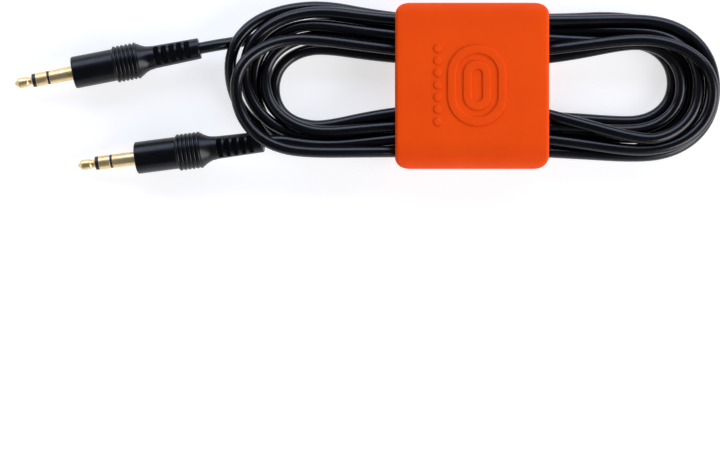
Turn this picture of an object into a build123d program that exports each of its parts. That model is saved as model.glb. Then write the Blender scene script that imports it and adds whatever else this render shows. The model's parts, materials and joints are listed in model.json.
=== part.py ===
from build123d import *

import math
import os

# A 3.5 mm three-contact audio lead with a moulded plug on each end, wound into a flat
# hank and held by a soft folded clip. The origin is the middle of the clip's underside,
# on the surface that everything lies on. +X runs along the hank, away from the plugs,
# +Y points out of the clip's mouth, and +Z is up. Lengths are in millimetres.

# Cord
CORD_D = 3.0

# Plug, in stations along its axis from the point of the tip
PIN_R = 1.75
TIP_HEAD_R = 1.36
TIP_NECK_R = 1.08
TIP_NOSE_R = 0.45
TIP_NOSE_END = 1.1
TIP_NECK_START = 3.4
TIP_END = 4.7
BAND_1_END = 5.6
RING_END = 8.6
BAND_2_END = 9.2
PIN_END = 15.4
BARREL_R = 4.13
RIB_START = 26.3
RIB_R = 4.7
RIB_GROOVE_R = 4.25
RIB_COUNT = 6
RIB_PITCH = 1.07
RIB_GROOVE_W = 0.3
RELIEF_START = 35.4
RELIEF_FRONT_R = 3.1
RELIEF_SHANK_START = 36.7
RELIEF_SHANK_R = 2.93
RELIEF_END = 48.6
RELIEF_REAR_R = 2.7
SLOT_COUNT = 5
SLOT_W = 1.15
SLOT_PITCH = 2.0
SLOT_FIRST = 36.95
SLOT_FLOOR_R = 1.9
SLOT_REACH = 2.25
EDGE = 0.3

# Coaxial tubes inside the pin: outer radius of each, and where each one ends
GAP = 0.02
ROD_R = 0.45
ROD_END = 19.6
TIP_TUBE_R = 0.78
TIP_TUBE_END = 18.8
RING_TUBE_R = 1.04
RING_TUBE_END = 17.9
BAND_TUBE_R = 1.28
BAND_TUBE_END = 17.0
COLLAR_R = 2.1
FLANGE_R = 2.9
FLANGE_START = 15.9
SLEEVE_END = 16.4

# Solder lugs: where each washer sits, its radius, its bore, and its tail's start and height
LUG_T = 0.3
LUG_W = 1.6
LUG_END = 23.4
LUGS = {
    "ground_lug": {"at": 16.45, "r": 2.3, "tube_r": BAND_TUBE_R, "tail": 16.45, "height": -2.1},
    "ring_lug": {"at": 17.4, "r": 1.62, "tube_r": RING_TUBE_R, "tail": 17.4, "height": 1.6},
    "tip_lug": {"at": 19.3, "r": 1.2, "tube_r": ROD_R, "tail": ROD_END, "height": 0.0},
}

# Insulating washers between the lugs
WASHER_R = 1.42

# Wires: each leaves the inner face of its lug and meets the cable's end at (y, z)
CORE_R = 0.32
CORE_START = 21.6
SOLDER_R = 0.5
CABLE_START = 28.0
WIRES = {
    "left_core": ("tip_lug", -1, (0.50, -0.28)),
    "right_core": ("ring_lug", -1, (0.0, 0.56)),
    "shield_drain": ("ground_lug", 1, (-0.50, -0.28)),
}

# Inner mould that buries the lugs and wires
MOULD_R = 2.9
MOULD_END = 30.0

# How each plug lies: heading of the axis from tip to cord, its rise, its turn about
# itself, and where the axis leaves the strain relief
PLUGS = {
    "plug_a": {"heading": 10.8, "rise": 3.0, "turn": -6.0, "rear": (-69.7, 9.8)},
    "plug_b": {"heading": 7.2, "rise": 7.5, "turn": 9.0, "rear": (-53.4, -14.2)},
}

# Clip: a folded strap whose section is a flat loop, half round at the spine
CLIP_LENGTH = 39.2
CLIP_WIDTH = 42.4
CLIP_HEIGHT = 14.0
CLIP_WALL = 2.5
CLIP_CORNER_R = 3.2
MOUTH_R = 2.8
SPINE_SPLIT_Y = -12.2
LIP_GAP = 0.2

# Raised badge on the front jaw: flat rings one inside the other, for the wound cord, and
# a row of round studs beside them
BADGE_RISE = 0.35
BADGE_LONG = 20.6
BADGE_WIDE = 15.0
BADGE_LINE = 2.1
BADGE_STEP = 4.0
BADGE_RINGS = 2
BADGE_X = 1.2
STUD_X = -8.9
STUD_R = 0.9
STUD_COUNT = 7
STUD_PITCH = 3.1

# Hank in plan: a ring with two round ends (x, y, radius), drawn in where the clip holds it
OUTER_ENDS = ((-43.6, 2.0, 19.9), (44.4, 0.0, 19.1))
OUTER_WAIST = (18.2, -17.0)
INNER_ENDS = ((-40.2, -0.4, 8.8), (40.9, 1.2, 9.1))
INNER_WAIST = (5.4, -5.0)
WAIST_HALF = 20.4
# and from the side: it rests on the surface at both ends and rises into the clip
RAMP_HALF = 38.0
WAIST_HEIGHTS = (2.6, 9.6)
LEFT_HIGH = 12.5
RIGHT_HIGH = 7.5
HANK_HALF = 70.0

# Leads: the run of loose cord between each plug and the hank, straight at first
LEAD_A_STRAIGHT = 4.0
LEAD_A_ROUTE = [(-61.9, 11.2, 5.0), (-58.0, 11.8, 3.6)]
LEAD_B_ROOM = 3.0
RELIEF_CLEARANCE = 0.35


def turned(outline):
    """Solid of revolution about X from (station, radius) points."""
    return revolve(make_face(Polyline(*outline, close=True)), Axis.X)


def tube(start, end, outer_r, inner_r=0.0):
    """Plain tube, or rod, along X."""
    return turned([(start, inner_r), (start, outer_r), (end, outer_r), (end, inner_r)])


def rod_between(first, last, radius):
    """Straight rod from one point to another."""
    axis = Vector(*last) - Vector(*first)
    return extrude(Plane(origin=first, z_dir=axis) * Circle(radius), axis.length)


def headed_tube(start, head_end, head_r, tube_end, tube_r, bore_r):
    """Contact or insulator: a visible head in front and a thinner tube behind it."""
    return turned([(start, bore_r), (start, head_r), (head_end, head_r), (head_end, tube_r),
                   (tube_end, tube_r), (tube_end, bore_r)])


def tip_contact():
    """Rounded nose, head, neck and the rod that carries the signal back to its lug."""
    return turned([(0, 0), (0, TIP_NOSE_R), (TIP_NOSE_END, TIP_HEAD_R),
                   (TIP_NECK_START, TIP_HEAD_R), (TIP_NECK_START + EDGE, TIP_NECK_R),
                   (TIP_END - EDGE, TIP_NECK_R), (TIP_END, TIP_HEAD_R), (TIP_END, ROD_R),
                   (ROD_END, ROD_R), (ROD_END, 0)])


def sleeve_contact():
    """Outer conductor: the pin's shank, with a collar and a flange that the mould grips."""
    bore = BAND_TUBE_R + GAP
    return turned([(BAND_2_END, bore), (BAND_2_END, PIN_R), (PIN_END, PIN_R),
                   (PIN_END, COLLAR_R), (FLANGE_START, COLLAR_R), (FLANGE_START, FLANGE_R),
                   (SLEEVE_END, FLANGE_R), (SLEEVE_END, bore)])


def solder_lug(at, r, tube_r, tail, height):
    """Stamped lug: a washer on its contact's tube with a flat tail behind it."""
    washer = tube(at, at + LUG_T, r, tube_r + GAP)
    return washer + Pos((tail + LUG_END) / 2, 0, height) * Box(LUG_END - tail, LUG_W, LUG_T)


def rear_insulators():
    """The two washers that keep the three lugs apart."""
    ground, ring, tip = (LUGS[name]["at"] for name in ("ground_lug", "ring_lug", "tip_lug"))
    front = tube(ground + LUG_T + GAP, ring - GAP, WASHER_R, BAND_TUBE_R + GAP)
    back = tube(ring + LUG_T + GAP, tip - GAP, WASHER_R - GAP, RING_TUBE_R + GAP)
    return Compound([front, back])


def wire_start(lug_name, side):
    """Where a wire's end lies on its lug's inner face."""
    return (CORE_START, 0, LUGS[lug_name]["height"] + side * (LUG_T / 2 + CORE_R + GAP))


def housing():
    """Moulded grip: smooth barrel, a band of fine ridges and a cone, hollow inside."""
    outline = [(PIN_END, COLLAR_R + GAP), (PIN_END, BARREL_R - EDGE), (PIN_END + EDGE, BARREL_R),
               (RIB_START, BARREL_R)]
    for ridge in range(RIB_COUNT):
        front = RIB_START + ridge * RIB_PITCH
        back = front + RIB_PITCH - RIB_GROOVE_W
        outline += [(front, RIB_R), (back, RIB_R), (back, RIB_GROOVE_R),
                    (front + RIB_PITCH, RIB_GROOVE_R)]
    outline += [(RELIEF_START, RELIEF_FRONT_R), (RELIEF_START, CORD_D / 2 + GAP),
                (MOULD_END, CORD_D / 2 + GAP), (MOULD_END, MOULD_R + GAP),
                (FLANGE_START - GAP, MOULD_R + GAP), (FLANGE_START - GAP, COLLAR_R + GAP)]
    return turned(outline)


def strain_relief():
    """Tapered sleeve on the cord, slotted above and below between two solid sides."""
    bore = CORD_D / 2 + GAP
    sleeve = turned([(RELIEF_START, bore), (RELIEF_START, RELIEF_FRONT_R),
                     (RELIEF_SHANK_START, RELIEF_SHANK_R), (RELIEF_END, RELIEF_REAR_R),
                     (RELIEF_END, bore)])
    for number in range(SLOT_COUNT):
        front = SLOT_FIRST + number * SLOT_PITCH
        ring = tube(front, front + SLOT_W, RIB_R, SLOT_FLOOR_R)
        sleeve -= ring & Pos(front + SLOT_W / 2) * Box(SLOT_W, 2 * SLOT_REACH, 2 * RIB_R)
    return sleeve


def plug_pieces():
    """Every piece of one plug, along X with the tip's point at the origin."""
    pieces = {
        "tip_contact": tip_contact(),
        "tip_insulator": headed_tube(TIP_END, BAND_1_END, PIN_R, TIP_TUBE_END, TIP_TUBE_R,
                                     ROD_R + GAP),
        "ring_contact": headed_tube(BAND_1_END, RING_END, PIN_R, RING_TUBE_END,
                                    RING_TUBE_R, TIP_TUBE_R + GAP),
        "ring_insulator": headed_tube(RING_END, BAND_2_END, PIN_R, BAND_TUBE_END, BAND_TUBE_R,
                                      RING_TUBE_R + GAP),
        "sleeve_contact": sleeve_contact(),
        "rear_insulators": rear_insulators(),
        "cable_end": tube(CABLE_START, RELIEF_END, CORD_D / 2),
    }
    for name, sizes in LUGS.items():
        pieces[name] = solder_lug(**sizes)
    solder = []
    for name, (lug_name, side, (end_y, end_z)) in WIRES.items():
        start = wire_start(lug_name, side)
        pieces[name] = rod_between(start, (CABLE_START, end_y, end_z), CORE_R)
        solder.append(Pos(*start) * Sphere(SOLDER_R) - pieces[name] - pieces[lug_name])
    pieces["solder_joints"] = Compound(solder)
    mould = tube(SLEEVE_END, MOULD_END, MOULD_R)
    for piece in pieces.values():
        mould -= piece
    pieces["inner_mould"] = mould
    pieces["housing"] = housing()
    pieces["strain_relief"] = strain_relief()
    return pieces


def plug_outline():
    """Stations and radii that can touch the surface when a plug lies on it."""
    return [(0, TIP_NOSE_R), (TIP_NOSE_END, TIP_HEAD_R), (PIN_END, BARREL_R - EDGE),
            (PIN_END + EDGE, BARREL_R), (RIB_START, RIB_R)]


def plug_plane(heading, rise, turn, rear):
    """Frame of a plug that lies on the surface: its X runs from the tip to the cord."""
    across, up = math.cos(math.radians(rise)), math.sin(math.radians(rise))
    along = Vector(math.cos(math.radians(heading)), math.sin(math.radians(heading)), 0)
    tip_height = max(radius * across - station * up for station, radius in plug_outline())
    tip = Vector(*rear, tip_height) - along * RELIEF_END * across
    axis = along * across + Vector(0, 0, up)
    top = (Vector(0, 0, across) - along * up).rotate(Axis((0, 0, 0), axis), turn)
    return Plane(origin=tip, x_dir=axis, z_dir=top)


def axis_point(plane, station):
    """Point on a plug's axis."""
    return plane.origin + plane.x_dir * station


def clip_section(inset):
    """Section of the folded strap, in the YZ plane: half round at the spine, flat, and
    rounded at the mouth."""
    spine_r = CLIP_HEIGHT / 2
    centre_y = -CLIP_WIDTH / 2 + spine_r
    length = CLIP_WIDTH / 2 - inset - centre_y
    height = CLIP_HEIGHT - 2 * inset
    block = Pos(centre_y + length / 2, spine_r) * Rectangle(length, height)
    block = fillet(block.vertices().group_by(Axis.X)[-1], MOUTH_R - inset)
    return block + Pos(centre_y, spine_r) * Circle(spine_r - inset)


def clip_pieces():
    """Back jaw, spine and front jaw of the clip."""
    loop = Plane.YZ * (clip_section(0) - clip_section(CLIP_WALL))
    loop = extrude(loop, CLIP_LENGTH / 2, both=True)
    loop &= extrude(RectangleRounded(CLIP_LENGTH, CLIP_WIDTH, CLIP_CORNER_R), CLIP_HEIGHT)
    mid = CLIP_HEIGHT / 2
    span = 2 * CLIP_WIDTH
    jaw_zone = Pos(0, SPINE_SPLIT_Y + span / 2, 0) * Box(span, span, mid - LIP_GAP / 2,
                                                         align=(Align.CENTER, Align.CENTER,
                                                                Align.MIN))
    spine_zone = Pos(0, SPINE_SPLIT_Y - span / 2, mid) * Box(span, span, span)
    front = loop & Pos(0, 0, mid + LIP_GAP / 2) * jaw_zone
    return {"clip_back_jaw": loop & jaw_zone, "clip_spine": loop & spine_zone,
            "clip_front_jaw": front + badge()}


def badge():
    """Raised mark: flat rings for the wound cord and a row of studs."""
    first = -(STUD_COUNT - 1) / 2 * STUD_PITCH
    mark = Sketch() + [Pos(STUD_X, first + number * STUD_PITCH) * Circle(STUD_R)
                       for number in range(STUD_COUNT)]
    for number in range(BADGE_RINGS):
        inset = 2 * BADGE_STEP * number
        outer = SlotOverall(BADGE_LONG - inset, BADGE_WIDE - inset)
        inset += 2 * BADGE_LINE
        inner = SlotOverall(BADGE_LONG - inset, BADGE_WIDE - inset)
        mark += Pos(BADGE_X, 0) * Rot(0, 0, 90) * (outer - inner)
    return extrude(Pos(0, 0, CLIP_HEIGHT) * mark, BADGE_RISE)


def round_ended(ends, waist):
    """Flat shape with a round at each end, drawn in along the clip."""
    (left_x, left_y, left_r), (right_x, right_y, right_r) = ends
    high, low = waist
    middle = Polyline((left_x, left_y + left_r), (-WAIST_HALF, high), (WAIST_HALF, high),
                      (right_x, right_y + right_r), (right_x, right_y - right_r),
                      (WAIST_HALF, low), (-WAIST_HALF, low), (left_x, left_y - left_r),
                      close=True)
    rounds = Pos(left_x, left_y) * Circle(left_r) + Pos(right_x, right_y) * Circle(right_r)
    return make_face(middle) + rounds


def hank_side():
    """Side view of the hank, in the XZ plane."""
    low, high = WAIST_HEIGHTS
    return make_face(Polyline(
        (-HANK_HALF, 0), (-RAMP_HALF, 0), (-WAIST_HALF, low), (WAIST_HALF, low),
        (RAMP_HALF, 0), (HANK_HALF, 0), (HANK_HALF, RIGHT_HIGH), (RAMP_HALF, RIGHT_HIGH),
        (WAIST_HALF, high), (-WAIST_HALF, high), (-RAMP_HALF, LEFT_HIGH),
        (-HANK_HALF, LEFT_HIGH), close=True))


def cord_hank(clip, plug_b_plane):
    """Outer shape of the wound cord, clear of the clip and of the plug that tucks under
    one of its turns."""
    plan = round_ended(OUTER_ENDS, OUTER_WAIST) - round_ended(INNER_ENDS, INNER_WAIST)
    hank = extrude(plan, CLIP_HEIGHT) & extrude(Plane.XZ * hank_side(), HANK_HALF, both=True)
    pocket = tube(RELIEF_START, RELIEF_END + LEAD_B_ROOM, RELIEF_SHANK_R + RELIEF_CLEARANCE)
    return hank - clip["clip_back_jaw"] - clip["clip_spine"] - plug_b_plane.location * pocket


def lead_route(plane, straight, beyond):
    """Points of a lead: straight out of the strain relief, then the points beyond."""
    start = [axis_point(plane, station) for station in (RELIEF_END, RELIEF_END + straight)]
    return start + [Vector(*point) for point in beyond]


def bend_radii(route):
    """Largest arc at each corner that leaves its two runs a little straight."""
    radii = []
    for before, corner, after in zip(route, route[1:], route[2:]):
        turn = (corner - before).get_angle(after - corner)
        shorter = min((corner - before).length, (after - corner).length)
        radii.append(0.45 * shorter / math.tan(math.radians(turn / 2)))
    return radii


def cord_tube(route):
    """Cord along straight runs joined by tangent arcs."""
    radii = bend_radii(route)
    path = FilletPolyline(*route, radius=radii)
    body = sweep(Plane(origin=path @ 0, z_dir=path % 0) * Circle(CORD_D / 2), path)
    print("cord tube: radii", [round(radius, 1) for radius in radii],
          "length %.1f" % path.length,
          "volume over section times length %.4f"
          % (body.volume / (math.pi * CORD_D ** 2 / 4 * path.length)))
    return body


def cord_pieces(clip, planes):
    """The hank and the loose run of cord at each of its ends."""
    hank = cord_hank(clip, planes["plug_b"])
    route = lead_route(planes["plug_a"], LEAD_A_STRAIGHT, LEAD_A_ROUTE)
    lead_a = cord_tube(route) - hank
    lead_b = planes["plug_b"].location * tube(RELIEF_END, RELIEF_END + LEAD_B_ROOM, CORD_D / 2)
    return {"cord_hank": hank, "cord_lead_a": lead_a, "cord_lead_b": lead_b}


def main():
    os.makedirs("parts", exist_ok=True)
    nodes = clip_pieces()
    planes = {name: plug_plane(**pose) for name, pose in PLUGS.items()}
    nodes.update(cord_pieces(nodes, planes))
    pieces = plug_pieces()
    for plug_name, plane in planes.items():
        for piece_name, piece in pieces.items():
            nodes[f"{plug_name}_{piece_name}"] = plane.location * piece
        for place, station in (("tip", 0), ("pin", (TIP_END + PIN_END) / 2),
                               ("flex", (SLOT_FIRST + RELIEF_END) / 2), ("rear", RELIEF_END)):
            point = axis_point(plane, station)
            print(plug_name, place, [round(value, 3) for value in point])
        print(plug_name, "axis", [round(value, 6) for value in plane.x_dir])
    for name, shape in nodes.items():
        export_step(shape, f"parts/{name}.step")


main()
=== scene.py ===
# %% [markdown]
# # An audio lead in a soft clip
# The object is a thin black audio lead with a slim three-contact jack plug on each end. Its 1.8 m
# are wound into a flat hank, and a folded strap of soft orange rubber holds the hank at its waist.
# The engineering model gives the frame: every size, every mount and every joint. This lesson puts
# the real surfaces on that frame, one piece at a time.

import json
import math

import bmesh
import bpy
import numpy as np
from mathutils import Matrix, Vector


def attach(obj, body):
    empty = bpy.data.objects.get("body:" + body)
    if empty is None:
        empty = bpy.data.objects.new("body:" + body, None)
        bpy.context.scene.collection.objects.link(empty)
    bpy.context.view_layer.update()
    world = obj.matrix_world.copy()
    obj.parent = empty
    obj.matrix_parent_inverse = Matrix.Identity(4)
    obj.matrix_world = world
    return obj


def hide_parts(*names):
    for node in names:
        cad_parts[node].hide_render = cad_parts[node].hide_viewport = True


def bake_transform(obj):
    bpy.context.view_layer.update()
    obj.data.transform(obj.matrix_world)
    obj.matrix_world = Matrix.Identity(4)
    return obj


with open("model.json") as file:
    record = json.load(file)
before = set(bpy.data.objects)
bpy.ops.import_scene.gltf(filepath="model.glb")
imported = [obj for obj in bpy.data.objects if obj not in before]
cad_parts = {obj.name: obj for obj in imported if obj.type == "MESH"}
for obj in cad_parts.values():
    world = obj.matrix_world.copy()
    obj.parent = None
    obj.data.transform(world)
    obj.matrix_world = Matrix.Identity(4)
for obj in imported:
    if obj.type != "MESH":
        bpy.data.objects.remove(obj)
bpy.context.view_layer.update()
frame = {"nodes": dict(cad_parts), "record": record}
MM = 0.001

# %% [markdown]
# ## The camera
# The lead lies on a table and is seen from straight above, so the camera looks down with its top
# edge towards +Y. A long lens keeps the verticals from spreading, as it does in a product shot. It
# could be moved closer with a short lens, but then the clip, which is the highest piece, would look
# too large beside the cord. The picture's width on the table sets the focal length.

# %% Camera
LENS_HEIGHT = 1.0
VIEW_WIDTH = 184.6 * MM
VIEW_CENTRE = (-28.6 * MM, -37.6 * MM)
FOCUS_HEIGHT = 7 * MM
SENSOR = 36.0
NEAREST, FARTHEST = 0.05, 10


def place_camera():
    """A camera looking straight down whose picture is VIEW_WIDTH wide at FOCUS_HEIGHT."""
    lens = bpy.data.cameras.new("overhead_camera")
    lens.sensor_width = SENSOR
    lens.lens = SENSOR * LENS_HEIGHT / VIEW_WIDTH
    lens.clip_start, lens.clip_end = NEAREST, FARTHEST
    camera = bpy.data.objects.new("overhead_camera", lens)
    camera.location = (*VIEW_CENTRE, FOCUS_HEIGHT + LENS_HEIGHT)
    bpy.context.scene.collection.objects.link(camera)
    bpy.context.scene.camera = camera
    print("camera: %.0f mm lens" % lens.lens)


place_camera()

# %% [markdown]
# ## Finishes
# Each finish starts from what the real material is and how its surface was made. Colours are
# written as sRGB hex values, the way a colour card gives them, and one function turns them to the
# linear values that a shader needs. One more adds a node. A picture of the real surface could be
# used instead, but a pattern worked out from millimetres stays sharp and never repeats.

# %% Colour and node helpers


def linear(colour, alpha=1.0):
    """A #RRGGBB colour as linear red, green, blue and alpha."""
    parts = np.array([int(colour[i:i + 2], 16) for i in (1, 3, 5)]) / 255
    low = parts <= 0.04045
    value = np.where(low, parts / 12.92, ((parts + 0.055) / 1.055) ** 2.4)
    return (*value.tolist(), alpha)


def add_node(tree, kind, inputs=None, **settings):
    """One node with its settings; an input is given a value or another node's output."""
    made = tree.nodes.new(kind)
    for key, value in settings.items():
        setattr(made, key, value)
    for key, value in (inputs or {}).items():
        if isinstance(value, bpy.types.NodeSocket):
            tree.links.new(value, made.inputs[key])
        else:
            made.inputs[key].default_value = value
    return made


def per_metre(millimetres):
    """Noise scale that puts one feature on each stretch of this many millimetres."""
    return 1 / (millimetres * MM)


# Places of a colour Mix node's sockets, which share their names with its other kinds
MIX_FACTOR, MIX_A, MIX_B, MIX_RESULT = 0, 6, 7, 2
# A noise texture's value rarely leaves this range, so the drift is stretched over it
NOISE_LOW, NOISE_HIGH = 0.3, 0.7


def surface(name, colour, darker, roughness, grain_mm, grain_depth, patch_mm, spread=0.05,
            **shader):
    """A finish whose colour drifts between two tones in patches, whose roughness drifts with
    them, and whose grain is a fine bump."""
    material = bpy.data.materials.new(name)
    material.use_nodes = True
    tree = material.node_tree
    tree.nodes.clear()
    where = add_node(tree, "ShaderNodeTexCoord").outputs["Object"]
    patches = add_node(tree, "ShaderNodeTexNoise",
                       {"Vector": where, "Scale": per_metre(patch_mm), "Detail": 3.0})
    grain = add_node(tree, "ShaderNodeTexNoise",
                     {"Vector": where, "Scale": per_metre(grain_mm), "Detail": 2.0})
    spread_out = add_node(tree, "ShaderNodeMapRange",
                          {"Value": patches.outputs["Fac"], "From Min": NOISE_LOW,
                           "From Max": NOISE_HIGH})
    tone = add_node(tree, "ShaderNodeMix",
                    {MIX_FACTOR: spread_out.outputs["Result"], MIX_A: linear(colour),
                     MIX_B: linear(darker)}, data_type="RGBA")
    gloss = add_node(tree, "ShaderNodeMapRange",
                     {"Value": patches.outputs["Fac"], "From Min": NOISE_LOW,
                      "From Max": NOISE_HIGH, "To Min": roughness - spread,
                      "To Max": roughness + spread})
    bump = add_node(tree, "ShaderNodeBump", {"Height": grain.outputs["Fac"], "Strength": 1.0,
                                             "Distance": grain_depth * MM})
    closure = add_node(tree, "ShaderNodeBsdfPrincipled",
                       {"Base Color": tone.outputs[MIX_RESULT],
                        "Roughness": gloss.outputs["Result"],
                        "Normal": bump.outputs["Normal"], **shader})
    add_node(tree, "ShaderNodeOutputMaterial", {"Surface": closure.outputs["BSDF"]})
    return material


# %% [markdown]
# ### Black PVC, white and red polyethylene
# The cord's jacket is extruded soft PVC: the die leaves it smooth, so it shows long broad
# highlights, with a slight orange peel. The plug's grip is the same PVC, moulded in a tool with a
# fine spark-eroded texture, so its highlights are wider and duller. PVC's index is about 1.53, but
# a cord that has been handled has a film that takes the edge off its shine, so its specular level
# is lower than the usual 0.5.

# %% Plastics
cord_pvc = surface("extruded_soft_pvc", "#050507", "#030304", 0.25, 1.2, 0.02, 9, spread=0.03,
                   IOR=1.53, **{"Specular IOR Level": 0.4})
grip_pvc = surface("moulded_pvc_spark_texture", "#050507", "#040405", 0.3, 0.35, 0.012, 6,
                   IOR=1.53, **{"Specular IOR Level": 0.3})
band_nylon = surface("moulded_black_nylon", "#141416", "#0C0C0E", 0.42, 0.3, 0.01, 3, IOR=1.53)
washer_fibre = surface("punched_white_fibre", "#E9E4D8", "#D9D2C2", 0.7, 0.2, 0.02, 2, IOR=1.5)
core_white = surface("extruded_white_polyethylene", "#EDEBE4", "#DEDBD0", 0.4, 0.3, 0.01, 2)
core_red = surface("extruded_red_polyethylene", "#B5231C", "#99180F", 0.4, 0.3, 0.01, 2)
inner_resin = surface("moulded_natural_polyethylene", "#CFCBBE", "#B9B4A4", 0.5, 0.5, 0.02, 3,
                      **{"Subsurface Weight": 0.2, "Subsurface Scale": 0.001})

# %% [markdown]
# ### Metals
# The contacts are turned brass with a thin flash of gold over nickel, which is paler than solid
# gold. Turning leaves fine rings round the pin, drawn here as a bump along the plug's own
# stations. They are about 0.02 mm apart on the real pin, far too fine to show, so they are drawn
# ten times as coarse. Metals keep the default index.

# %% Metals
TURNING_PITCH = 0.2
TURNING_DEPTH = 0.004
# A wave texture of scale 1 repeats after this many units
WAVE_PERIOD = 0.314


def turned_metal(name, colour, darker, roughness):
    """A metal finish with rings round the axis: a wave along the second flat coordinate, which
    is the station in millimetres."""
    material = surface(name, colour, darker, roughness, 0.4, 0.004, 1.5, Metallic=1.0)
    tree = material.node_tree
    flat = add_node(tree, "ShaderNodeUVMap", uv_map="UVMap").outputs["UV"]
    rings = add_node(tree, "ShaderNodeTexWave",
                     {"Vector": flat, "Scale": WAVE_PERIOD / TURNING_PITCH, "Distortion": 0.4},
                     bands_direction="Y")
    grain = next(n for n in tree.nodes if n.bl_idname == "ShaderNodeBump")
    closure = next(n for n in tree.nodes if n.bl_idname == "ShaderNodeBsdfPrincipled")
    ridged = add_node(tree, "ShaderNodeBump", {"Height": rings.outputs["Fac"], "Strength": 1.0,
                                               "Distance": TURNING_DEPTH * MM,
                                               "Normal": grain.outputs["Normal"]})
    tree.links.new(ridged.outputs["Normal"], closure.inputs["Normal"])
    return material


gold = turned_metal("turned_brass_gold_flash", "#F7DDA8", "#EBC988", 0.4)
tin = surface("stamped_brass_tin_plate", "#C9C8C2", "#B4B2AB", 0.32, 0.5, 0.01, 2, Metallic=1.0)
copper = surface("drawn_bare_copper", "#C98260", "#B06B4A", 0.3, 0.3, 0.01, 1, Metallic=1.0)
solder = surface("flowed_tin_solder", "#C4C5C8", "#AEB0B4", 0.22, 0.4, 0.01, 1, Metallic=1.0)

# %% [markdown]
# ### Orange elastomer
# The clip is a soft silicone-like elastomer over a spring, moulded in a fine matte tool. It is
# opaque to the eye, yet a little light spreads below the surface, which warms its edges. Its
# matte grain is about 0.1 mm, drawn here at 0.25 mm so that it shows.

# %% Elastomer
clip_rubber = surface("moulded_orange_elastomer", "#EE4C06", "#E84804", 0.6, 0.25, 0.008, 14,
                      IOR=1.41, **{"Subsurface Weight": 0.12, "Subsurface Scale": 0.0008,
                                   "Specular IOR Level": 0.12,
                                   "Subsurface Radius": (1.0, 0.35, 0.1)})

# %% [markdown]
# ## The cord's route
# The cord is one length of soft 3 mm cable, from one strain relief to the other. It goes through
# the clip thirteen times and makes seven turns to the right of it and six to the left. A coil could
# be a helix, but a hand-wound hank isn't regular: each turn has its own reach and its own sag. So
# each turn is a few chosen sizes, and a loop works its points out. A lane is where the cord passes
# through the clip, as (y, z) in millimetres.

# %% Sizes of the hank
CORD_D = 3.0
LANES_TOP = {"lead_a": (14.0, 4.4), "inner": (7.2, 4.1), "under": (11.2, 4.1), "outer": (17.1, 4.1),
             "shadow": (12.8, 7.3), "arch": (16.8, 7.2), "front": (8.9, 6.7)}
LANES_BOTTOM = {"inner": (-6.8, 7.2), "under": (-10.0, 7.3), "outer": (-10.9, 4.2),
                "shadow": (-14.2, 4.1), "arch": (-7.6, 4.1), "front": (-16.5, 6.6),
                "lead_b": (-13.2, 7.3)}
# Each turn: x of its shoulders, y of its top and bottom, how far it reaches, y of its far end,
# and its height at the top shoulder, the far end and the bottom shoulder
LEFT_TURNS = {
    "inner": (38, 9.8, -10.9, 50.5, -0.5, 2.0, 1.6, 2.0),
    "under": (38, 13.0, -12.0, 52.9, 1.5, 4.6, 4.4, 4.6),
    "outer": (38, 20.4, -14.6, 61.9, 5.5, 8.0, 7.4, 2.4),
    "shadow": (40, 15.8, -15.0, 55.4, 2.0, 6.6, 4.4, 5.0),
    "arch": (38, 19.2, -13.0, 57.8, 4.0, 10.8, 7.5, 4.8),
    "front": (42, 12.1, -16.3, 60.0, -0.4, 11.2, 10.0, 10.5),
}
RIGHT_TURNS = [
    (44, 13.6, -14.4, 58.2, 0.0, 4.6, 4.4, 5.5),
    (40, 11.6, -11.2, 53.6, 0.0, 3.0, 4.3, 4.5),
    (42, 13.6, -13.3, 56.1, 0.0, 1.8, 1.6, 1.8),
    (36, 17.6, -16.3, 59.3, 0.0, 1.8, 1.6, 1.8),
    (40, 11.4, -9.0, 51.7, 1.0, 2.6, 1.6, 1.8),
    (43, 16.9, -17.7, 62.2, -0.5, 3.6, 1.6, 3.0),
    (42, 11.7, -16.4, 61.6, -1.5, 5.5, 4.6, 5.6),
]
LEAD_A = [(-69.7, 9.8, 5.861), (-65.776, 10.548, 6.07), (-61.9, 11.2, 5.0), (-58.0, 11.8, 3.6),
          (-53.6, 12.7, 2.4), (-48.5, 14.2, 1.9), (-42.6, 15.9, 2.2), (-35.5, 16.6, 3.2),
          (-27.0, 15.6, 4.2)]
LEAD_B = [(-26.0, -14.4, 7.3), (-33.0, -15.2, 7.6), (-39.0, -15.3, 8.0), (-44.5, -14.6, 8.6),
          (-49.465, -13.703, 8.911), (-53.4, -14.2, 8.389)]
CLIP_PASS = (-15.0, 0.0, 15.0)
CLIP_EXIT = 25.6
TURN_POINTS = 9
# How much of its place in the clip a strand still keeps at CLIP_EXIT, in y and in z
LANE_SHARE = (0.62, 0.7)
# A turn is a little squarer than an ellipse, and its spline runs inside its points by these shares
SQUARENESS = 0.92
REACH_KEPT = 0.966
WIDTH_KEPT = 0.983
# How fast a turn's height goes over from the far end's to the shoulder's
HEIGHT_POWER = 1.5


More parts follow.
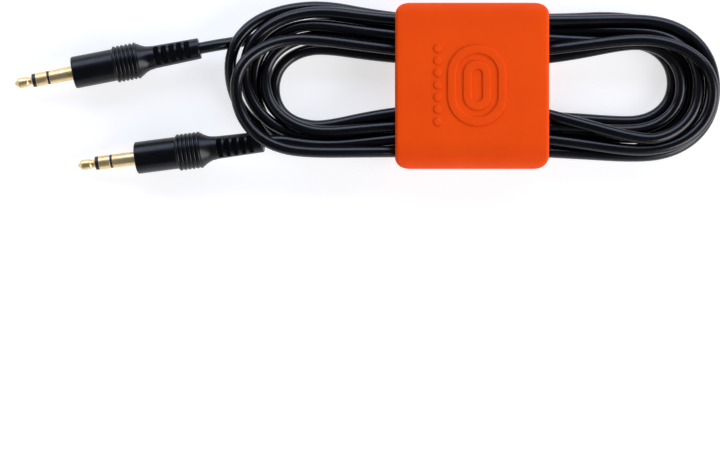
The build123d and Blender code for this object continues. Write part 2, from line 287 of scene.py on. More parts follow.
def turn(side, start, end, sizes):
    """One turn from its top lane to its bottom lane. Round the end it is a squared ellipse about
    the shoulder: x is the shoulder plus the reach times a power of the cosine, y is the far end
    plus half the width times a power of the sine."""
    shoulder, top, bottom, reach, far_y, high, far_z, low = sizes
    angle = np.radians(np.linspace(90, -90, TURN_POINTS))
    upper = angle >= 0
    across, along = np.sin(angle), np.cos(angle)
    half_width = np.where(upper, top - far_y, far_y - bottom)
    x = shoulder + (reach - shoulder) / REACH_KEPT * np.abs(along) ** SQUARENESS
    y = far_y + half_width / WIDTH_KEPT * np.sign(across) * np.abs(across) ** SQUARENESS
    share = np.abs(across) ** HEIGHT_POWER
    z = far_z * (1 - share) + share * np.where(upper, high, low)
    mouth = [(CLIP_EXIT, *(inside * keep + beyond * (1 - keep)
                           for inside, beyond, keep in zip(gate, shoulder_at, LANE_SHARE)))
             for gate, shoulder_at in ((start, (top, high)), (end, (bottom, low)))]
    points = np.vstack([mouth[0], np.column_stack([x, y, z]), mouth[1]])
    return points * (side, 1, 1)


def lane(gate, direction):
    """The cord's straight pass through the clip."""
    return np.array([(x * direction, *gate) for x in CLIP_PASS])


def hank_route():
    """Every control point of the cord, from plug A to plug B, in millimetres."""
    names = list(LEFT_TURNS)
    parts = [LEAD_A, lane(LANES_TOP["lead_a"], 1)]
    gate = LANES_TOP["lead_a"]
    for number, sizes in enumerate(RIGHT_TURNS):
        name = names[number] if number < len(names) else "lead_b"
        parts += [turn(1, gate, LANES_BOTTOM[name], sizes), lane(LANES_BOTTOM[name], -1)]
        if name in LEFT_TURNS:
            gate = LANES_TOP[name]
            left = turn(-1, gate, LANES_BOTTOM[name], LEFT_TURNS[name])
            parts += [left[::-1], lane(gate, 1)]
    return np.vstack(parts + [LEAD_B])


route = hank_route()
print("route:", len(route), "control points")

# %% [markdown]
# ## Letting the turns settle
# Chosen turns cross through each other here and there, which real cord can't do. A rigid-body or
# cloth solver could sort that out, but it is slow for a thin cord and hard to repeat. So the cord
# is relaxed by a small, exact rule: wherever two stretches are closer than one diameter they push
# each other apart, everything sinks a little, nothing goes below the table, and stiffness keeps
# the heights smooth and the turns in their places.

# %% Settle the hank
SAMPLES_PER_SPAN = 5
ROUNDS = 260
CLEARANCE = 0.04
# Samples nearer than this along the cord belong to one stretch and don't push each other
SAME_STRETCH = 1.2 * SAMPLES_PER_SPAN
PUSH = 1.2
PUSH_DIRECTION = (0.7, 0.7, 1)
LEAST_SHARE = 0.6
SINK = 0.012
SINK_UNTIL = 0.7
SMOOTH_HEIGHT = 0.16
SMOOTH_PLAN = 0.10
KEEP_PLAN = 0.05
CLIP_HOLDS_TO = 16
CLIP_HOLD = 0.3
HELD_ENDS = 3


def spline_weights(count, per_span):
    """How much each control point counts at each sample of a clamped quadratic B-spline: in a
    span, the three weights are the quadratic blends of the knots around it."""
    knots = np.concatenate([[0, 0], np.arange(count - 1), [count - 2, count - 2]]).astype(float)
    u = np.linspace(0, count - 2, (count - 2) * per_span + 1)
    u[-1] -= 1e-9
    span = u.astype(int)
    k = span + 2
    left1, right1, right2, left0 = knots[k], knots[k + 1], knots[k + 2], knots[k - 1]
    low = (right1 - u) / (right1 - left1)
    high = 1 - low
    outer = (right1 - u) / (right1 - left0)
    inner = (right2 - u) / (right2 - left1)
    weights = np.zeros((len(u), count))
    rows = np.arange(len(u))
    weights[rows, span] = outer * low
    weights[rows, span + 1] = (1 - outer) * low + inner * high
    weights[rows, span + 2] = (1 - inner) * high
    return weights


def pull(points):
    """From each inner point to the middle of its two neighbours."""
    change = np.zeros_like(points)
    change[1:-1] = (points[:-2] + points[2:]) / 2 - points[1:-1]
    return change


def settled(points):
    """The route after ROUNDS of pushing apart, sinking and smoothing. Two samples closer than a
    diameter each move half the missing distance, shared out to the points that carry them."""
    start, design_pull = points.copy(), pull(points)
    weights = spline_weights(len(points), SAMPLES_PER_SPAN)
    number = np.arange(len(weights))
    apart = np.abs(number[:, None] - number[None, :]) > SAME_STRETCH
    gap = CORD_D + CLEARANCE
    in_clip = np.abs(start[:, 0]) < CLIP_HOLDS_TO
    held = np.r_[0:HELD_ENDS, len(points) - HELD_ENDS:len(points)]
    for step in range(ROUNDS):
        line = (weights @ points).astype(np.float32)
        between = line[:, None, :] - line[None, :, :]
        square = np.einsum("ijk,ijk->ij", between, between)
        first, second = np.nonzero((square < gap * gap) & apart)
        away = between[first, second].astype(float) * PUSH_DIRECTION
        short = gap - np.sqrt(square[first, second])
        push = away * (short / (np.linalg.norm(away, axis=1) + 1e-6) / 2)[:, None]
        move = np.zeros((len(line), 3))
        touches = np.zeros(len(line))
        np.add.at(move, first, push)
        np.add.at(touches, first, 1)
        move /= np.maximum(touches, 1)[:, None]
        move[:, 2] = np.maximum(move[:, 2], CORD_D / 2 + CLEARANCE - line[:, 2])
        moved = (np.abs(move).sum(1) > 0).astype(float)
        share = np.maximum(weights.T @ moved, LEAST_SHARE)[:, None]
        points = points + PUSH * (weights.T @ move) / share
        points[:, 2] -= SINK if step < ROUNDS * SINK_UNTIL else 0
        smooth = pull(points)
        home = start - points
        points[:, 2] += SMOOTH_HEIGHT * smooth[:, 2]
        points[:, :2] += SMOOTH_PLAN * (smooth - design_pull)[:, :2] + KEEP_PLAN * home[:, :2]
        points[in_clip, 2] += CLIP_HOLD * (start - points)[in_clip, 2]
        points[held] = start[held]
    return points


route = settled(route)
print("hank: %.1f mm high" % (route[:, 2].max() + CORD_D / 2))

# %% [markdown]
# ## The cord itself
# The settled points become the control points of one smooth curve with a round section, which is
# what an extruded cable is. A mesh tube swept along the points would look the same, but a curve
# keeps its centre line, so its true length can be measured.

# %% Cord
CORD_SIDES = 6
CORD_STEPS = 6
LENGTH_STEPS = 12


def line_length(points):
    """Length of the spline through its samples, in the points' own unit."""
    line = spline_weights(len(points), LENGTH_STEPS) @ points
    return float(np.linalg.norm(np.diff(line, axis=0), axis=1).sum())


def make_cord(points):
    """A round curve on one quadratic spline, closed at both ends."""
    curve = bpy.data.curves.new("wound_cord", "CURVE")
    curve.dimensions = "3D"
    curve.resolution_u = CORD_STEPS
    curve.bevel_depth = CORD_D / 2 * MM
    curve.bevel_resolution = CORD_SIDES
    curve.use_fill_caps = True
    spline = curve.splines.new("NURBS")
    spline.points.add(len(points) - 1)
    corners = np.column_stack([points * MM, np.ones(len(points))])
    spline.points.foreach_set("co", corners.ravel())
    spline.order_u = 3
    spline.use_endpoint_u = True
    spline.use_smooth = True
    cord = bpy.data.objects.new("wound_cord", curve)
    bpy.context.scene.collection.objects.link(cord)
    return cord


cord = make_cord(route)
cord.data.materials.append(cord_pvc)
cord_length = line_length(route) * MM
print("cord: %.2f m long" % cord_length)
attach(cord, "root")
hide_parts("cord_hank", "cord_lead_a", "cord_lead_b")

# %% [markdown]
# ## Tools for surfaces
# Every other piece is a surface on a grid. A shape is worked out as one array of points, rows by
# columns, and neighbouring points are joined by four-sided faces. Modelling by hand would do too,
# but a formula can be measured, checked and changed. Three small helpers are enough: one makes the
# mesh, one softens the corners of an outline and one turns an outline about a plug's axis.


# %% Grid to mesh
SHARP_ANGLE = math.radians(40)
MERGE = 1e-7
ARC_REACH = 0.48


def grid_piece(name, grid, wrap_rows=False, cap=False, uv=None):
    """A mesh whose points are grid[row, column]. Columns always close into a ring. Rows close too
    if wrap_rows; otherwise cap closes the two end rings with a flat face each."""
    rows, columns = grid.shape[:2]
    last = rows if wrap_rows else rows - 1
    row, column = np.meshgrid(np.arange(last), np.arange(columns), indexing="ij")
    below, beside = (row + 1) % rows, (column + 1) % columns
    faces = np.stack([row * columns + column, row * columns + beside,
                      below * columns + beside, below * columns + column], -1).reshape(-1, 4)
    faces = faces.tolist()
    if cap:
        faces += [list(range(columns))[::-1], list(range((rows - 1) * columns, rows * columns))]
    mesh = bpy.data.meshes.new(name)
    mesh.from_pydata(grid.reshape(-1, 3).tolist(), [], faces)
    if uv is not None:
        add_uv(mesh, uv)
    shell = bmesh.new()
    shell.from_mesh(mesh)
    bmesh.ops.remove_doubles(shell, verts=shell.verts, dist=MERGE)
    bmesh.ops.recalc_face_normals(shell, faces=shell.faces)
    shell.to_mesh(mesh)
    shell.free()
    mesh.shade_smooth()
    mesh.set_sharp_from_angle(angle=SHARP_ANGLE)
    piece = bpy.data.objects.new(name, mesh)
    bpy.context.scene.collection.objects.link(piece)
    return piece


def add_uv(mesh, uv):
    """Gives every face corner the flat place of its point."""
    corners = np.zeros(len(mesh.loops), dtype=np.int32)
    mesh.loops.foreach_get("vertex_index", corners)
    layer = mesh.uv_layers.new(name="UVMap")
    layer.data.foreach_set("uv", uv.reshape(-1, 2)[corners].astype(np.float32).ravel())


def softened(outline, radius, steps=4):
    """The outline with each inner corner replaced by a quadratic arc: it starts and ends radius
    away from the corner, or just short of half way along a shorter side."""
    points = np.array(outline, float)
    sizes = np.broadcast_to(radius, len(points)).astype(float)[1:-1, None]
    corner = points[1:-1]
    to_last, to_next = points[:-2] - corner, points[2:] - corner
    last_length = np.linalg.norm(to_last, axis=1, keepdims=True)
    next_length = np.linalg.norm(to_next, axis=1, keepdims=True)
    cut = np.minimum(sizes, ARC_REACH * np.minimum(last_length, next_length))
    start = corner + to_last / last_length * cut
    end = corner + to_next / next_length * cut
    t = np.linspace(0, 1, steps + 1)[None, :, None]
    arcs = ((1 - t) ** 2 * start[:, None] + 2 * t * (1 - t) * corner[:, None]
            + t ** 2 * end[:, None])
    return np.vstack([points[:1], arcs.reshape(-1, points.shape[1]), points[-1:]])


# %% [markdown]
# ## Where each plug lies
# The frame's record holds a mount for each pin: a point on its axis and the direction it points.
# All plug sizes are stations, distances along the axis from the point of the tip, so one list of
# sizes serves both plugs. Only the way each one is turned about its own axis has to be said.

# %% Plug frames
PIN_STATION = 10.05
PLUG_TURNS = {"plug_a": -6.0, "plug_b": 9.0}


def plug_frame(name):
    """The tip's point and three unit directions: along the plug, across it and out of its top."""
    mount = next(m for m in frame["record"]["mounts"] if m["name"] == name + "_pin")
    along = -np.array(mount["axis"], float)
    along /= np.linalg.norm(along)
    tip = np.array(mount["pos_m"], float) - along * PIN_STATION * MM
    upward = np.array((0, 0, 1.0)) - along * along[2]
    upward /= np.linalg.norm(upward)
    level = np.cross(upward, along)
    angle = math.radians(PLUG_TURNS[name])
    top = upward * math.cos(angle) - level * math.sin(angle)
    return tip, along, np.cross(top, along), top


plugs = {name: plug_frame(name) for name in PLUG_TURNS}


def around(plug, stations, radii, angles):
    """Points at these stations and radii round the plug's axis: the axis point plus the radius
    times a cosine of the angle across and a sine of it towards the top."""
    tip, along, across, top = plugs[plug]
    out = np.cos(angles)[..., None] * across + np.sin(angles)[..., None] * top
    return tip + (stations[..., None] * along + radii[..., None] * out) * MM


SIDES = 64


def turned(name, plug, outline, closed=False, sides=SIDES):
    """A surface of revolution: each (station, radius) of the outline goes once round the axis."""
    outline = np.array(outline, float)
    angle = np.linspace(0, 2 * math.pi, sides, endpoint=False)
    stations = np.repeat(outline[:, :1], sides, axis=1)
    radii = np.repeat(outline[:, 1:], sides, axis=1)
    angles = np.repeat(angle[None], len(outline), axis=0)
    uv = np.stack([angles / (2 * math.pi), stations], -1)
    return grid_piece(f"{plug}_{name}", around(plug, stations, radii, angles), closed, uv=uv)

# %% [markdown]
# ## The gold pin
# The pin is three contacts in one line. Each is a head that shows and a thinner tube that runs
# back inside the next one to its solder lug. A lathe makes them, so a turned outline is the real
# process. The black bands between the heads are nylon, flush with the gold.

# %% Contacts and bands
PIN_R = 1.75
BAND_R = 1.72
PIN_END = 15.4
TIP_OUTLINE = [(0, 0), (0.05, 0.35), (1.15, 1.36), (1.6, 1.36), (3.3, 1.26), (3.6, 1.04),
               (4.35, 1.04), (4.7, 1.36), (4.7, 0.45), (19.6, 0.45), (19.6, 0)]
TIP_EDGE_R = 0.16
EDGE_R = 0.12
BAND_EDGE_R = 0.05


def sleeved(front, back, head_r, tube_end, tube_r, bore_r):
    """Outline of a head with a thinner tube behind it, begun and ended inside its bore."""
    middle = (back + tube_end) / 2
    return [(middle, bore_r), (front, bore_r), (front, head_r), (back, head_r),
            (back, tube_r), (tube_end, tube_r), (tube_end, bore_r), (middle, bore_r)]


SLEEVE_OUTLINE = [(12, 1.30), (9.2, 1.30), (9.2, PIN_R), (PIN_END, PIN_R), (PIN_END, 2.1),
                  (15.9, 2.1), (15.9, 2.9), (16.4, 2.9), (16.4, 1.30), (12, 1.30)]
PIN_PIECES = {
    "tip_contact": (TIP_OUTLINE, TIP_EDGE_R, gold, "contact_gold"),
    "tip_insulator": (sleeved(4.7, 5.6, BAND_R, 18.8, 0.78, 0.47), BAND_EDGE_R, band_nylon,
                      "insulator_black"),
    "ring_contact": (sleeved(5.6, 8.6, PIN_R, 17.9, 1.04, 0.80), EDGE_R, gold, "contact_gold"),
    "ring_insulator": (sleeved(8.6, 9.2, BAND_R, 17.0, 1.28, 1.06), BAND_EDGE_R, band_nylon,
                       "insulator_black"),
    "sleeve_contact": (SLEEVE_OUTLINE, EDGE_R, gold, "contact_gold"),
}


def finish_piece(piece, material, slot, *nodes):
    """Gives a piece its finish and hides the frame's nodes that it stands for."""
    piece.data.materials.append(material)
    if nodes:
        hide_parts(*nodes)
    return piece


for plug in plugs:
    for part, (outline, soft, material, slot) in PIN_PIECES.items():
        piece = turned(part + "_turned", plug, softened(outline, soft))
        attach(finish_piece(piece, material, slot, f"{plug}_{part}"), plug)
print("pin pieces:", 2 * len(PIN_PIECES))

# %% [markdown]
# ## The grip
# The grip is moulded over the contacts in one shot: a smooth barrel, six rounded ridges for the
# fingers and a waisted cone. It is hollow, because the inner mould fills it. The ridges could be
# modelled one by one, but here the outline's radius is a formula of the station, so all six are
# one line of code.

# %% Grip
BARREL_R = 4.13
BARREL_BACK = 26.1
RIB_START = 26.3
RIB_R = 4.7
RIB_GROOVE_R = 4.3
RIB_COUNT = 6
RIB_PITCH = 1.07
RIB_SHARE = 0.84
RIB_STEPS = 14
CONE_R = 4.35
CONE_POWER = 1.5
CONE_STEPS = 12
GRIP_SOFT = 0.45
GRIP_SIDES = 96
RELIEF_START = 35.4
RELIEF_FRONT_R = 3.1
# The hollow inside: round the sleeve's collar, then round the inner mould, then round the cable
COLLAR_BORE_R = 2.12
MOULD_START = 15.88
MOULD_END = 30
MOULD_BORE_R = 2.92
CABLE_BORE_R = 1.52
OUTLINE_SEAM = 22


def grip_outline():
    """Barrel, ridges, cone, and back along the cavity. A ridge's radius is the groove's plus a
    height times one minus the cube of the distance from its middle; the cone's radius falls as
    the power 1.5 of the way left."""
    front = softened([(OUTLINE_SEAM, MOULD_BORE_R), (MOULD_START, MOULD_BORE_R),
                      (MOULD_START, COLLAR_BORE_R), (PIN_END, COLLAR_BORE_R),
                      (PIN_END, BARREL_R), (BARREL_BACK, BARREL_R)], GRIP_SOFT)
    count = np.arange(RIB_COUNT * RIB_STEPS) / RIB_STEPS
    place = np.abs(count % 1 / RIB_SHARE * 2 - 1)
    crest = np.clip(1 - place ** 3, 0, 1)
    ribs = np.column_stack([RIB_START + count * RIB_PITCH,
                            RIB_GROOVE_R + (RIB_R - RIB_GROOVE_R) * crest])
    left = np.linspace(1, 0, CONE_STEPS)
    cone_start = RIB_START + RIB_COUNT * RIB_PITCH
    cone = np.column_stack([RELIEF_START - left * (RELIEF_START - cone_start),
                            RELIEF_FRONT_R + (CONE_R - RELIEF_FRONT_R) * left ** CONE_POWER])
    rear = [(RELIEF_START, CABLE_BORE_R), (MOULD_END, CABLE_BORE_R), (MOULD_END, MOULD_BORE_R),
            (OUTLINE_SEAM, MOULD_BORE_R)]
    return np.vstack([front, ribs, cone, rear])


for plug in plugs:
    grip = turned("grip_moulded", plug, grip_outline(), sides=GRIP_SIDES)
    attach(finish_piece(grip, grip_pvc, "plug_pvc", f"{plug}_housing"), plug)
print("grip: %.1f mm at the ridges" % (2 * RIB_R))

# %% [markdown]
# ## The strain relief
# Behind the grip the same PVC becomes a short sleeve with five slots across its top and five
# below, between two solid sides, so that it bends with the cord. Cutting slots with booleans
# leaves ragged edges. Here the radius is a function of station and angle: a taper, or a slot's
# flat floor where there is a slot. The sleeve lies between the plug and the cord; its points are
# baked in place, and it belongs to neither body.

# %% Strain relief
RELIEF_END = 48.6
RELIEF_SHANK = (36.7, 2.93)
RELIEF_REAR_R = 2.7
SLOTS = 5
SLOT_FIRST = 36.92
SLOT_W = 1.2
SLOT_PITCH = 2.0
SLOT_FLOOR = 1.66
SLOT_EDGE = 0.12
LEAST_SINE = 0.1
RIM_SOFT = 0.35
RELIEF_SIDES = 128
RELIEF_ROWS = 236
RIM_ROWS = 6
BORE_ROWS = 24
CABLE_R = CORD_D / 2
CABLE_START = 28
CABLE_BEND_START = 36
CABLE_ROWS = 30
CABLE_SIDES = 32


def smooth_step(value):
    """0 below 0, 1 above 1, and an S between."""
    t = np.clip(value, 0, 1)
    return t * t * (3 - 2 * t)


def relief_radius(station, angle):
    """The taper's radius, or the slot's floor where the station is within half a slot's width of
    its middle. The floor is flat, so its radius is its height over the sine of the angle."""
    taper = np.interp(station, [RELIEF_START, RELIEF_SHANK[0], RELIEF_END],
                      [RELIEF_FRONT_R, RELIEF_SHANK[1], RELIEF_REAR_R])
    number = np.clip(np.round((station - SLOT_FIRST - SLOT_W / 2) / SLOT_PITCH), 0, SLOTS - 1)
    middle = SLOT_FIRST + SLOT_W / 2 + number * SLOT_PITCH
    across = smooth_step((SLOT_W / 2 + SLOT_EDGE - np.abs(station - middle)) / (2 * SLOT_EDGE))
    floor = SLOT_FLOOR / np.maximum(np.abs(np.sin(angle)), LEAST_SINE)
    return taper - np.maximum(taper - floor, 0) * across


def relief_grid(plug):
    """Outer surface from front to back, a rounded rim, and the bore back to the front."""
    angle = np.linspace(0, 2 * math.pi, RELIEF_SIDES, endpoint=False)
    outer = np.linspace(RELIEF_START, RELIEF_END - RIM_SOFT, RELIEF_ROWS)
    round_off = np.linspace(0, math.pi / 2, RIM_ROWS)[1:]
    rim = RELIEF_END - RIM_SOFT * (1 - np.sin(round_off))
    bore = np.linspace(RELIEF_END, RELIEF_START, BORE_ROWS)
    stations = np.concatenate([outer, rim, bore])
    station, angles = np.meshgrid(stations, angle, indexing="ij")
    radii = relief_radius(station, angles)
    radii[len(outer):len(outer) + len(rim)] -= RIM_SOFT * (1 - np.cos(round_off))[:, None]
    radii[len(outer) + len(rim):] = CABLE_BORE_R
    return around(plug, station, radii, angles)


def bend_with_cord(piece):
    """Bakes the piece's placement into its points; it follows neither the plug nor the cord."""
    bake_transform(piece)


cable_stations = np.linspace(CABLE_BEND_START, RELIEF_END, CABLE_ROWS)
cable_outline = [(CABLE_START, 0), (CABLE_START, CABLE_R),
                 *((station, CABLE_R) for station in cable_stations), (RELIEF_END, 0)]
for plug in plugs:
    relief = grid_piece(f"{plug}_relief_slotted", relief_grid(plug), wrap_rows=True)
    bend_with_cord(finish_piece(relief, grip_pvc, "plug_pvc", f"{plug}_strain_relief"))
    stub = turned("cord_end", plug, cable_outline, sides=CABLE_SIDES)
    bend_with_cord(finish_piece(stub, cord_pvc, "cord_jacket", f"{plug}_cable_end"))
print("strain relief: %d slots over %.1f mm" % (SLOTS, SLOTS * SLOT_PITCH))

# %% [markdown]
# ## The clip
# The clip is a strap of rubber folded over a spring: a back jaw under the hank, a front jaw over
# it, and a round spine that bends as the clip opens. A box with a bevel would miss how the wall
# turns down at the mouth. So the strap's section, a flat rounded rectangle as wide as the clip, is
# carried along the fold's middle line, and its width shrinks near the mouth and the spine, which
# rounds the four corners as they are seen from above.

# %% Clip sizes and path
CLIP_LENGTH = 39.2
CLIP_WIDTH = 42.4
CLIP_HEIGHT = 14.0
WALL = 2.5
EDGE_SOFT = 0.85
CORNER_R = 3.2
MOUTH_R = 2.8
SPLIT_Y = -12.2
LIP_GAP = 0.2
LIP_SOFT = 0.35
MIDDLE_Z = CLIP_HEIGHT / 2
SPINE_Y = MIDDLE_Z - CLIP_WIDTH / 2
LONG_POINTS = 25
EDGE_POINTS = 8
RIM_POINTS = 4
FLAT_POINTS = 17
MOUTH_POINTS = 13
LIP_POINTS = 4
LIP_EDGE_POINTS = 6
SPINE_POINTS = 41
SPINE_FLAT = 3


def strap_section():
    """A closed rounded rectangle (x, t): t runs through the wall, from -WALL/2 inside to WALL/2
    outside. Its long sides have extra points, so that shading stays flat across them."""
    half_x, half_t = CLIP_LENGTH / 2 - EDGE_SOFT, WALL / 2 - EDGE_SOFT
    long_side = np.linspace(-half_x, half_x, LONG_POINTS)
    arc = np.linspace(0, math.pi / 2, EDGE_POINTS)[1:-1]
    parts = []
    for side_x, side_t in ((1, 1), (1, -1), (-1, -1), (-1, 1)):
        turn_arc = arc if side_x * side_t > 0 else arc[::-1]
        if side_x * side_t > 0:
            face_t = np.full(LONG_POINTS, side_t * WALL / 2)
            parts.append(np.column_stack([side_x * long_side, face_t]))
        parts.append(np.column_stack([side_x * (half_x + EDGE_SOFT * np.sin(turn_arc)),
                                      side_t * (half_t + EDGE_SOFT * np.cos(turn_arc))]))
        if side_x * side_t > 0:
            rim_x = np.full(RIM_POINTS, side_x * CLIP_LENGTH / 2)
            rim_t = side_t * np.linspace(half_t, -half_t, RIM_POINTS)
            parts.append(np.column_stack([rim_x, rim_t]))
    return np.vstack(parts)


def jaw_path():
    """Middle line (y, z) of the front jaw and its outward direction: straight from the spine,
    a quarter turn at the mouth, then down to the lip."""
    mid_r = MOUTH_R - WALL / 2
    centre_y, centre_z = CLIP_WIDTH / 2 - MOUTH_R, CLIP_HEIGHT - MOUTH_R
    flat_y = np.linspace(SPLIT_Y, centre_y, FLAT_POINTS + 1)[:-1]
    angle = np.linspace(0, math.pi / 2, MOUTH_POINTS)
    lip_z = np.linspace(centre_z, MIDDLE_Z + LIP_GAP / 2 + LIP_SOFT, LIP_POINTS + 1)[1:]
    y = np.concatenate([flat_y, centre_y + mid_r * np.sin(angle),
                        np.full(LIP_POINTS, centre_y + mid_r)])
    z = np.concatenate([np.full(FLAT_POINTS, centre_z + mid_r), centre_z + mid_r * np.cos(angle),
                        lip_z])
    out = np.concatenate([np.zeros(FLAT_POINTS), angle, np.full(LIP_POINTS, math.pi / 2)])
    return np.column_stack([y, z]), np.column_stack([np.sin(out), np.cos(out)])


def spine_path():
    """Middle line of the spine: a short flat, a half turn and a short flat."""
    mid_r = MIDDLE_Z - WALL / 2
    angle = np.linspace(0, math.pi, SPINE_POINTS)
    flat = np.linspace(SPLIT_Y, SPINE_Y, SPINE_FLAT + 1)[:-1]
    y = np.concatenate([flat, SPINE_Y - mid_r * np.sin(angle), flat[::-1]])
    z = np.concatenate([np.full(SPINE_FLAT, MIDDLE_Z - mid_r), MIDDLE_Z - mid_r * np.cos(angle),
                        np.full(SPINE_FLAT, MIDDLE_Z + mid_r)])
    out = np.concatenate([np.zeros(SPINE_FLAT), angle, np.full(SPINE_FLAT, math.pi)])
    return np.column_stack([y, z]), np.column_stack([-np.sin(out), -np.cos(out)])

# %% [markdown]
# The jaws and the spine share one function, so their walls meet without a step. Each end of a
# jaw's lip is rounded by shrinking the last few sections.

# %% Clip shells


def plan_half_length(y):
    """Half the clip's length at this y: full in the middle, and less by a circle's fall within
    CORNER_R of the mouth and of the spine."""
    into = np.clip(np.abs(y) - (CLIP_WIDTH / 2 - CORNER_R), 0, CORNER_R)
    return CLIP_LENGTH / 2 - CORNER_R + np.sqrt(np.maximum(CORNER_R ** 2 - into ** 2, 0))


def strap(name, path, outward, lip):
    """The section carried along the path. With a lip, the last sections shrink round its edge."""
    section = strap_section()
    inset = np.zeros(len(path))
    if lip:
        angle = np.linspace(0, math.pi / 2, LIP_EDGE_POINTS)[1:]
        along = path[-1] - path[-2]
        along /= np.linalg.norm(along)
        path = np.vstack([path, path[-1] + along * LIP_SOFT * np.sin(angle)[:, None]])
        outward = np.vstack([outward, np.repeat(outward[-1:], len(angle), axis=0)])
        inset = np.concatenate([inset, LIP_SOFT * (1 - np.cos(angle))])
    t = section[None, :, 1] * (1 - inset / (WALL / 2))[:, None]
    y = path[:, :1] + t * outward[:, :1]
    z = path[:, 1:] + t * outward[:, 1:]
    x = section[None, :, 0] * (1 - inset / (CLIP_LENGTH / 2))[:, None]
    x = x * plan_half_length(y) / (CLIP_LENGTH / 2)
    return grid_piece(name, np.stack([x, y, z], -1) * MM, cap=True)


path, outward = jaw_path()
front_jaw = strap("front_jaw_shell", path, outward, lip=True)
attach(finish_piece(front_jaw, clip_rubber, "clip_elastomer", "clip_front_jaw"), "clip_front")
upside_down = (1, -1)
back_jaw = strap("back_jaw_shell", path * upside_down + (0, CLIP_HEIGHT), outward * upside_down,
                 lip=True)
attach(finish_piece(back_jaw, clip_rubber, "clip_elastomer", "clip_back_jaw"), "root")
spine = strap("spine_shell", *spine_path(), lip=False)
finish_piece(spine, clip_rubber, "clip_elastomer", "clip_spine")
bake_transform(spine)
print("clip: %.1f by %.1f by %.1f mm" % (CLIP_LENGTH, CLIP_WIDTH, CLIP_HEIGHT))

# %% [markdown]
# ## The badge
# The front jaw carries a raised mark, moulded with it: two slot-shaped rings, one inside the
# other, for a wound cord, and a row of studs beside them. A slot is two half circles, so one angle
# going once round draws it, and a soft-edged section follows it. The mark's foot sits inside the
# wall.

# %% Badge
BADGE_TOP = CLIP_HEIGHT + 0.35
BADGE_FOOT = CLIP_HEIGHT - 0.2
BADGE_EDGE = 0.22
BADGE_LONG = 20.6
BADGE_WIDE = 15.0
BADGE_LINE = 2.1
BADGE_STEP = 4.0
BADGE_X = 1.2
STUD_X = -8.9
STUD_R = 0.9
STUD_COUNT = 7
STUD_PITCH = 3.1
STUD_SIDES = 32
HALF_ROUND = 33


def slot_loop(centre_x, half_straight, radius):
    """Points once round a slot that stands along Y: a half circle at each end."""
    angle = np.linspace(0, math.pi, HALF_ROUND)
    angle = np.concatenate([angle, angle + math.pi])
    end = np.repeat([half_straight, -half_straight], HALF_ROUND)
    return np.stack([centre_x + radius * np.cos(angle), end + radius * np.sin(angle)], -1)


def badge_ring(name, inset):
    """A ring: for each point of a soft-edged section, a slot whose radius is the section's."""
    radius = BADGE_WIDE / 2 - inset - BADGE_LINE / 2
    half = BADGE_LINE / 2
    section = softened([(0, BADGE_FOOT), (-half, BADGE_FOOT), (-half, BADGE_TOP),
                        (half, BADGE_TOP), (half, BADGE_FOOT), (0, BADGE_FOOT)], BADGE_EDGE)
    straight = (BADGE_LONG - BADGE_WIDE) / 2
    rings = [np.column_stack([slot_loop(BADGE_X, straight, radius + out),
                              np.full(2 * HALF_ROUND, z)]) for out, z in section[:-1]]
    return grid_piece(name, np.array(rings) * MM, wrap_rows=True)


def badge_stud(name, y):
    """A stud: circles stacked up its rounded edge, closed by a flat top and foot."""
    edge = softened([(0, BADGE_FOOT), (0, BADGE_TOP), (STUD_R, BADGE_TOP)], BADGE_EDGE)[:-1]
    angle = np.linspace(0, 2 * math.pi, STUD_SIDES, endpoint=False)
    rings = [np.column_stack([STUD_X + (STUD_R - inset) * np.cos(angle),
                              y + (STUD_R - inset) * np.sin(angle), np.full(STUD_SIDES, z)])
             for inset, z in edge]
    return grid_piece(name, np.array(rings) * MM, cap=True)


marks = [badge_ring("badge_ring_outer", 0), badge_ring("badge_ring_inner", BADGE_STEP)]
marks += [badge_stud(f"badge_stud_{number}", (number - (STUD_COUNT - 1) / 2) * STUD_PITCH)
          for number in range(STUD_COUNT)]
for mark in marks:
    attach(finish_piece(mark, clip_rubber, "clip_elastomer"), "clip_front")

# %% [markdown]
# ## What the mould hides
# Inside each grip are three solder lugs, the washers between them, two insulated cores and a bare
# drain wire, the solder and the inner mould that buries it all. The frame's own solids have the
# right shape for these, so they only get their finishes.

# %% Inner pieces
INNER_FINISHES = {
    "rear_insulators": washer_fibre, "tip_lug": tin, "ring_lug": tin, "ground_lug": tin,
    "left_core": core_white, "right_core": core_red, "shield_drain": copper,
    "solder_joints": solder, "inner_mould": inner_resin,
}
for plug in plugs:
    for part, material in INNER_FINISHES.items():
        node = frame["nodes"][f"{plug}_{part}"]
        if not node.material_slots:
            node.data.materials.append(material)
        node.material_slots[0].material = material
print("inner pieces:", 2 * len(INNER_FINISHES))

# %% [markdown]
# ## Table and light
# The lead lies on white paper, lit as for a catalogue. A long softbox behind draws the broad, cool
# highlight along the cord and leaves the dark beside it, and a weak one in front draws a second,
# thinner line. One at the right lights the clip and shows its badge, and a faint one at the left
# fills in. The paper glows a little, as it does on a light table, which keeps its shadows faint.

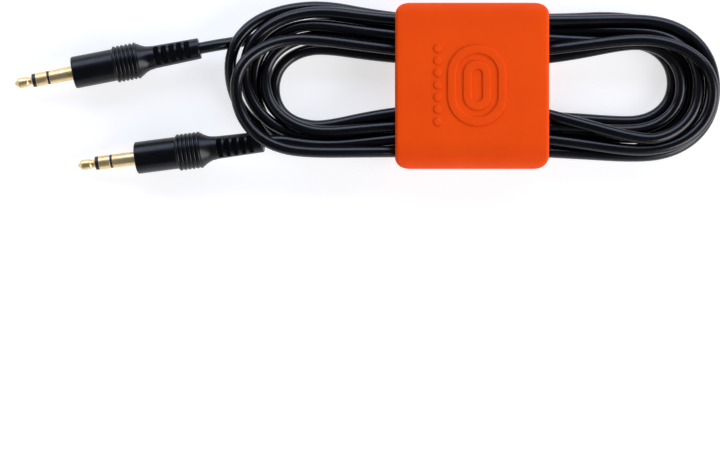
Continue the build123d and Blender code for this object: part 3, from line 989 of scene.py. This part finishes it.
# %% Studio
# Name, place and size in metres, power in watts, colour
SOFTBOXES = [
    ("softbox_far", (0.0, 0.75, 0.48), (2.4, 0.6), 17, "#D4E0FF"),
    ("softbox_near", (0.15, -0.60, 0.16), (1.0, 0.22), 0.5, "#F2F4FF"),
    ("softbox_right", (0.70, -0.42, 0.50), (1.0, 0.6), 10.5, "#F8F8FF"),
    ("softbox_left", (-0.85, -0.20, 0.50), (1.0, 0.6), 1.2, "#FFFFFF"),
]
AIM = (-0.02, 0, 0)
PAPER_SIZE = 3.0
PAPER_DROP = 0.02
PAPER_GLOW = 0.66
ROOM_COLOUR = "#B8C4E4"
ROOM_STRENGTH = 0.12


def softbox(name, place, size, power, colour):
    """An area light at a place, turned to AIM."""
    light = bpy.data.lights.new(name, "AREA")
    light.shape = "RECTANGLE"
    light.size, light.size_y = size
    light.energy = power
    light.color = linear(colour)[:3]
    lamp = bpy.data.objects.new(name, light)
    lamp.location = place
    lamp.rotation_euler = (Vector(AIM) - Vector(place)).to_track_quat("-Z", "Y").to_euler()
    bpy.context.scene.collection.objects.link(lamp)


def paper_floor():
    """A square of white paper just under the object."""
    half = PAPER_SIZE / 2
    mesh = bpy.data.meshes.new("paper_floor")
    mesh.from_pydata([(-half, -half, 0), (half, -half, 0), (half, half, 0), (-half, half, 0)], [],
                     [(0, 1, 2, 3)])
    mesh.transform(Matrix.Translation((0, 0, -PAPER_DROP * MM)))
    floor = bpy.data.objects.new("paper_floor", mesh)
    bpy.context.scene.collection.objects.link(floor)
    paper = surface("white_paper", "#BEBEBE", "#BABABA", 0.8, 0.5, 0.005, 40,
                    **{"Emission Color": (1, 1, 1, 1), "Emission Strength": PAPER_GLOW})
    floor.data.materials.append(paper)


paper_floor()
for softbox_row in SOFTBOXES:
    softbox(*softbox_row)
world = bpy.data.worlds.new("studio_room")
world.use_nodes = True
background = world.node_tree.nodes["Background"]
background.inputs["Color"].default_value = linear(ROOM_COLOUR)
background.inputs["Strength"].default_value = ROOM_STRENGTH
bpy.context.scene.world = world
bpy.context.scene.view_settings.view_transform = "Standard"
